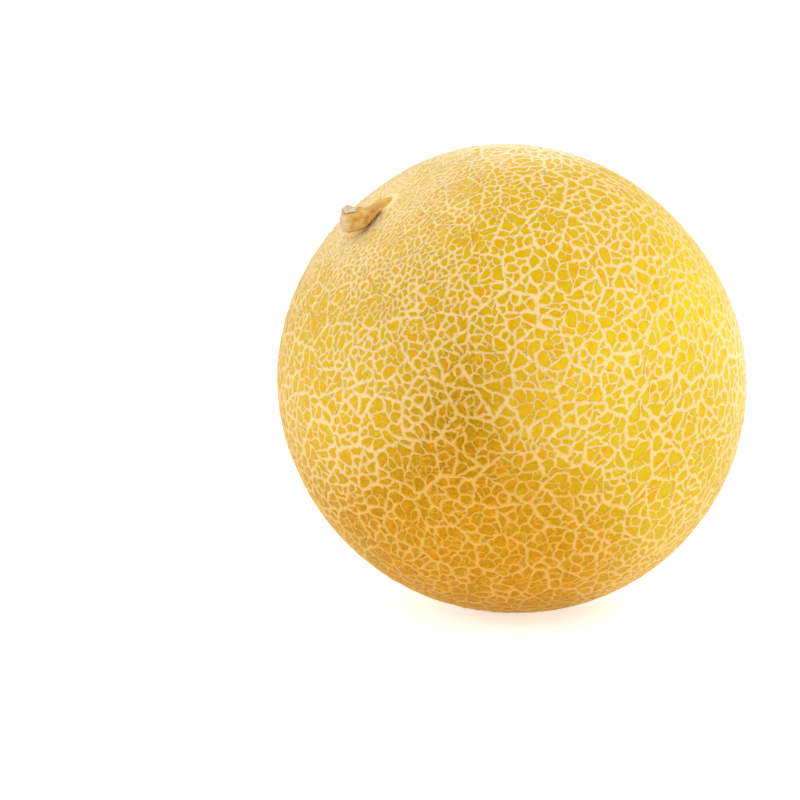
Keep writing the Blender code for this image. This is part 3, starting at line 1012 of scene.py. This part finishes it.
# %% Stem material
def dry_stem():
    material, tree, shader = new_material("dry_stem_fibre")
    place = add(tree, "ShaderNodeAttribute", attribute_name="unbent").outputs["Vector"]
    dry = add(tree, "ShaderNodeAttribute", attribute_name="dryness").outputs["Fac"]
    spread = add(tree, "ShaderNodeSeparateXYZ", {0: place})
    flat = sum_of(tree, "MULTIPLY", spread.outputs[2], 0.12)
    along = add(tree, "ShaderNodeCombineXYZ", {0: spread.outputs[0], 1: spread.outputs[1],
                                               2: flat}).outputs[0]
    base = blend_colour(tree, ramped(tree, dry, 0.15, 0.45), colour("DFB84C"), colour("C0944A"))
    base = blend_colour(tree, ramped(tree, dry, 0.60, 0.85), base, colour("C8A050"))
    base = tint(tree, base, spots(tree, place, 1.8 * MM, 0.46, 0.62), 0.6, "CC8C2A")
    rot = sum_of(tree, "MULTIPLY", spots(tree, place, 0.6 * MM, 0.52, 0.62, 3.0, 0.6),
                 ramped(tree, dry, 0.25, 0.45))
    base = tint(tree, base, rot, 0.5, "906A2C")
    fibre = spots(tree, along, 0.35 * MM, 0.40, 0.62, 3.0, 0.6)
    base = tint(tree, base, fibre, 0.28, "7E5420")
    base = tint(tree, base, spots(tree, place, 1.1 * MM, 0.50, 0.70, 3.0), 0.45, "D6B87C")
    base = tint(tree, base, ramped(tree, dry, 0.90, 1.02), 0.55, "C4B59A")
    surface(tree, shader, Base_Color=base, Roughness=0.78, IOR=1.5, Specular_IOR_Level=0.3)
    bumped(tree, shader, fibre, 0.7, 0.2 * MM)
    return material


stub.data.materials.append(dry_stem())

# %% [markdown]
# ## Collar and blossom scar
# Where the stem grows in, the fruit has a lumpy collar of old cork. At the other end the blossom
# fell off and left a small scar, a ring with a button in it. Each is a short profile turned about
# its end of the fruit and laid on the skin, with lumps, so it is built by one function.

# %% Cork turned about an end of the fruit
def turned_cork(name, pole, profile, seed):
    """A lumpy profile of (distance from the end, height) in mm, closed under the skin."""
    rng = random.Random(seed)
    side = pole.orthogonal().normalized()
    waves = [(k, rng.uniform(0.0, 6.28), rng.uniform(0.4, 1.0) / k ** 0.5)
             for k in (2, 3, 5, 7, 11)]
    build = bmesh.new()
    crest = build.verts.layers.float.new("crest")
    around = 72
    rings = []
    for distance, height in profile:
        ring = []
        for j in range(around):
            turn = 2.0 * math.pi * j / around
            lump = sum(a * math.sin(k * turn + p + 0.3 * distance) for k, p, a in waves)
            lump *= min(distance, 1.0)
            away = (distance * (1.0 + 0.035 * lump)) * MM / EQUATOR_RADIUS
            up = height * (1.0 + 0.22 * lump) if height > 0.0 else height
            spin = Matrix.Rotation(turn, 3, pole)
            d = (pole * math.cos(away) + (spin @ side) * math.sin(away)).normalized()
            vert = build.verts.new(MIDDLE + rind_radius_point(d) + d * (up * MM))
            vert[crest] = 0.45 + 0.42 * height
            ring.append(vert)
        rings.append(ring)
    back = rings[:1] if profile[0][0] > 0.0 else []
    join_rows(build, rings + back, closed=True)
    bmesh.ops.remove_doubles(build, verts=build.verts[:], dist=0.001 * MM)
    piece = plain_piece(build, name)
    piece.data.materials.append(cork_material)
    return piece


collar = turned_cork("seat_collar", STEM_POLE, (
    (2.6, -0.3), (2.9, 0.15), (3.3, 0.4), (3.8, 0.55), (4.3, 0.5), (4.8, 0.3), (5.2, 0.1),
    (5.5, -0.15), (4.0, -0.4)), 3)
scar = turned_cork("blossom_scar", -STEM_POLE, (
    (0.0, 0.42), (0.5, 0.45), (1.0, 0.30), (1.4, 0.08), (1.8, 0.12), (2.3, 0.45), (2.8, 0.6),
    (3.3, 0.5), (3.7, 0.2), (4.0, -0.15), (2.0, -0.4), (0.0, -0.4)), 5)

# %% [markdown]
# ## Papery husk
# On the upper side of the cut end the dry outer skin has come away as a thin pale flake that
# stands a millimetre proud of the rim. It is a small curved sheet with a torn edge, given a real
# thickness, because a sheet without one has no edge to catch the light.

# %% The husk
HUSK_THICKNESS = 0.16 * MM
HUSK_REACH = math.radians(44.0)


def husk_piece():
    build = bmesh.new()
    rows = []
    across_steps, along_steps = 30, 14
    forward = (stem_centre(1.0)[0] - stem_centre(0.9)[0]).normalized()
    side = (STEM_ASIDE - forward * STEM_ASIDE.dot(forward)).normalized()
    up = forward.cross(side)
    look = VIEW_UP * 0.95 - VIEW_RIGHT * 0.25 + VIEW_BACK * 0.1
    middle = math.atan2(up.dot(look), side.dot(look))
    for i in range(along_steps + 1):
        past = i / along_steps
        centre, radius = stem_centre(0.79 + 0.205 * i / along_steps)
        row = []
        for j in range(across_steps + 1):
            s = 2.0 * j / across_steps - 1.0
            angle = middle + s * HUSK_REACH
            torn = (0.5 * math.sin(9.0 * s + 1.0) + 0.35 * math.sin(17.0 * s)
                    + 0.2 * math.sin(31.0 * s))
            dome = math.sin(math.pi * min(past * 0.85 + 0.05, 1.0)) * (1.0 - s * s)
            lift = radius * 1.03 + (0.15 + 1.5 * dome) * MM
            ahead = past ** 2 * (0.5 * (1.0 - s * s) + 0.3 * torn) * MM
            radial = side * math.cos(angle) + up * math.sin(angle)
            row.append(build.verts.new(centre + radial * lift + forward * ahead))
        rows.append(row)
    join_rows(build, rows, closed=False)
    bmesh.ops.recalc_face_normals(build, faces=build.faces[:])
    bmesh.ops.solidify(build, geom=build.faces[:], thickness=HUSK_THICKNESS)
    return plain_piece(build, "papery_husk")


husk = husk_piece()


# %% Husk material
def bleached_husk():
    material, tree, shader = new_material("bleached_stem_skin")
    place = add(tree, "ShaderNodeTexCoord").outputs["Object"]
    stain = spots(tree, place, 0.9 * MM, 0.42, 0.66, 4.0, 0.6)
    base = blend_colour(tree, stain, colour("C2B69E"), colour("A98F62"))
    base = tint(tree, base, spots(tree, place, 0.3 * MM, 0.50, 0.70, 2.0), 0.4, "8A7048")
    surface(tree, shader, Base_Color=base, Roughness=0.7, Specular_IOR_Level=0.3)
    bumped(tree, shader, stain, 0.5, 0.15 * MM)
    return material


husk.data.materials.append(bleached_husk())

# %% Bind the pieces to the model
for piece in (skin, cork, collar, scar):
    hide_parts("fruit")
    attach(piece, "root")
for piece in (stub, husk):
    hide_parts("stem")
    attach(piece, "root")

# %% Floor
FLOOR_REACH = 3.0
floor_mesh = bpy.data.meshes.new("floor")
floor_mesh.from_pydata([(x * FLOOR_REACH, y * FLOOR_REACH, 0.0)
                        for x, y in ((-1, -1), (1, -1), (1, 1), (-1, 1))], [], [(0, 1, 2, 3)])
floor = new_object("floor", floor_mesh)
paper, paper_tree, paper_shader = new_material("matt_white_paper")
surface(paper_tree, paper_shader, Base_Color=colour("F4F4F2"), Roughness=0.95,
        Emission_Color=(1.0, 1.0, 1.0, 1.0), Emission_Strength=0.55)
floor_mesh.materials.append(paper)

# %% Light and background
world = bpy.data.worlds.new("white_tent")
world.use_nodes = True
backdrop = next(n for n in world.node_tree.nodes if n.type == "BACKGROUND")
backdrop.inputs["Color"].default_value = (1.0, 1.0, 1.0, 1.0)
backdrop.inputs["Strength"].default_value = 1.25
bpy.context.scene.world = world


def soft_box(name, direction, distance, size, watts):
    """A square soft box that looks at the middle of the fruit."""
    lamp = bpy.data.lights.new(name, "AREA")
    lamp.size = size
    lamp.energy = watts
    box = new_object(name, lamp)
    box.location = MIDDLE + direction.normalized() * distance
    box.rotation_euler = direction.to_track_quat("Z", "Y").to_euler()


soft_box("key_box", VIEW_RIGHT * 0.8 + VIEW_UP * 1.0 + VIEW_BACK * 0.35, 1.1, 0.7, 4.2)
soft_box("left_box", VIEW_RIGHT * -1.0 + VIEW_UP * 0.35 + VIEW_BACK * 0.1, 1.2, 0.7, 2.5)

# %% Camera
STAND_OFF = 0.85
PIXEL = 0.3206 * MM
FRAME_PIXELS = 800
eye = bpy.data.cameras.new("camera")
eye.sensor_width = 36.0
eye.lens = 36.0 * STAND_OFF / (FRAME_PIXELS * PIXEL)
camera = new_object("camera", eye)
camera.location = (MIDDLE + VIEW_BACK * STAND_OFF
                   - VIEW_RIGHT * (112.3 * PIXEL) - VIEW_UP * (20.1 * PIXEL))
camera.rotation_euler = Matrix((VIEW_RIGHT, VIEW_UP, VIEW_BACK)).transposed().to_euler()
bpy.context.scene.camera = camera
bpy.context.scene.view_settings.view_transform = "Standard"
print("lens:", round(eye.lens, 1), "mm")
